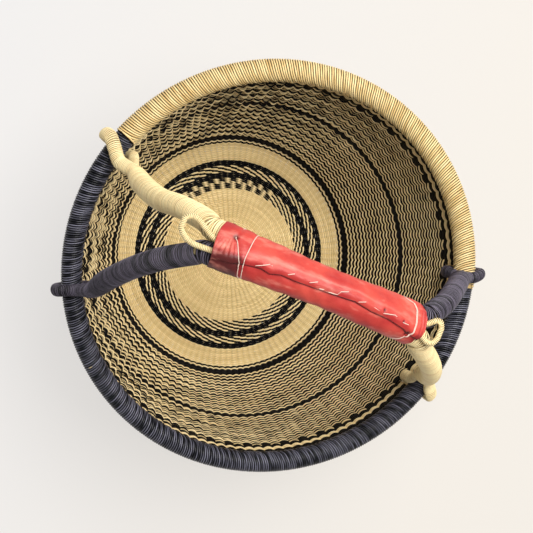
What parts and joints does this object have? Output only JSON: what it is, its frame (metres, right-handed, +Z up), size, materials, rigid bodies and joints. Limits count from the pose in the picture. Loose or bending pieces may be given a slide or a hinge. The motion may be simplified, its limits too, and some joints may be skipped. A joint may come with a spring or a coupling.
{
  "type": "round straw basket with handle",
  "caption": "Round twined straw basket with a bound rim and two handles that cross under a laced leather grip.",
  "frame": {"origin": "centre of the base's underside, on the surface that the basket stands on", "axes": "+Z up, +X along the leather grip towards its right end, +Y towards the rim's natural side"},
  "size_m": [0.4124, 0.4064, 0.4223],
  "materials": {
    "natural_straw": "dry twisted straw, matt",
    "black_straw": "dyed twisted straw, matt",
    "striped_straw": "alternate rows of natural and black straw",
    "navy_straw": "dyed straw winding with a slight sheen",
    "grass_core": "bundle of dry grass",
    "leather": "red dyed goatskin, mottled",
    "thread": "waxed thread"
  },
  "bodies": {
    "basket": {"base_weave": "natural_straw", "pattern_ring_weave": "striped_straw", "floor_band_weave": "natural_straw", "black_ring_weave": "black_straw", "lower_wall_weave": "striped_straw", "middle_ring_weave": "black_straw", "upper_wall_weave": "striped_straw", "top_ring_weave": "striped_straw", "rim_core": "grass_core", "natural_rim_binding": "natural_straw", "navy_rim_binding": "navy_straw"},
    "handle": {"natural_handle_core": "grass_core", "navy_handle_core": "grass_core", "left_natural_binding": "natural_straw", "right_natural_binding": "natural_straw", "left_navy_binding": "navy_straw", "right_navy_binding": "navy_straw", "left_natural_eye": "natural_straw", "right_natural_eye": "natural_straw", "left_navy_eye": "navy_straw", "right_navy_eye": "navy_straw", "leather_grip": "leather", "seam_lacing": "thread", "left_outer_tie": "thread", "left_inner_tie": "thread", "right_tie": "thread", "left_grip_loop": "natural_straw", "right_grip_loop": "natural_straw"}
  },
  "joints": [
    {"name": "handle_lift", "type": "slide", "parent": "basket", "child": "handle", "axis": [0, 0, 1], "range_m": [0, 0.006]}
  ]
}
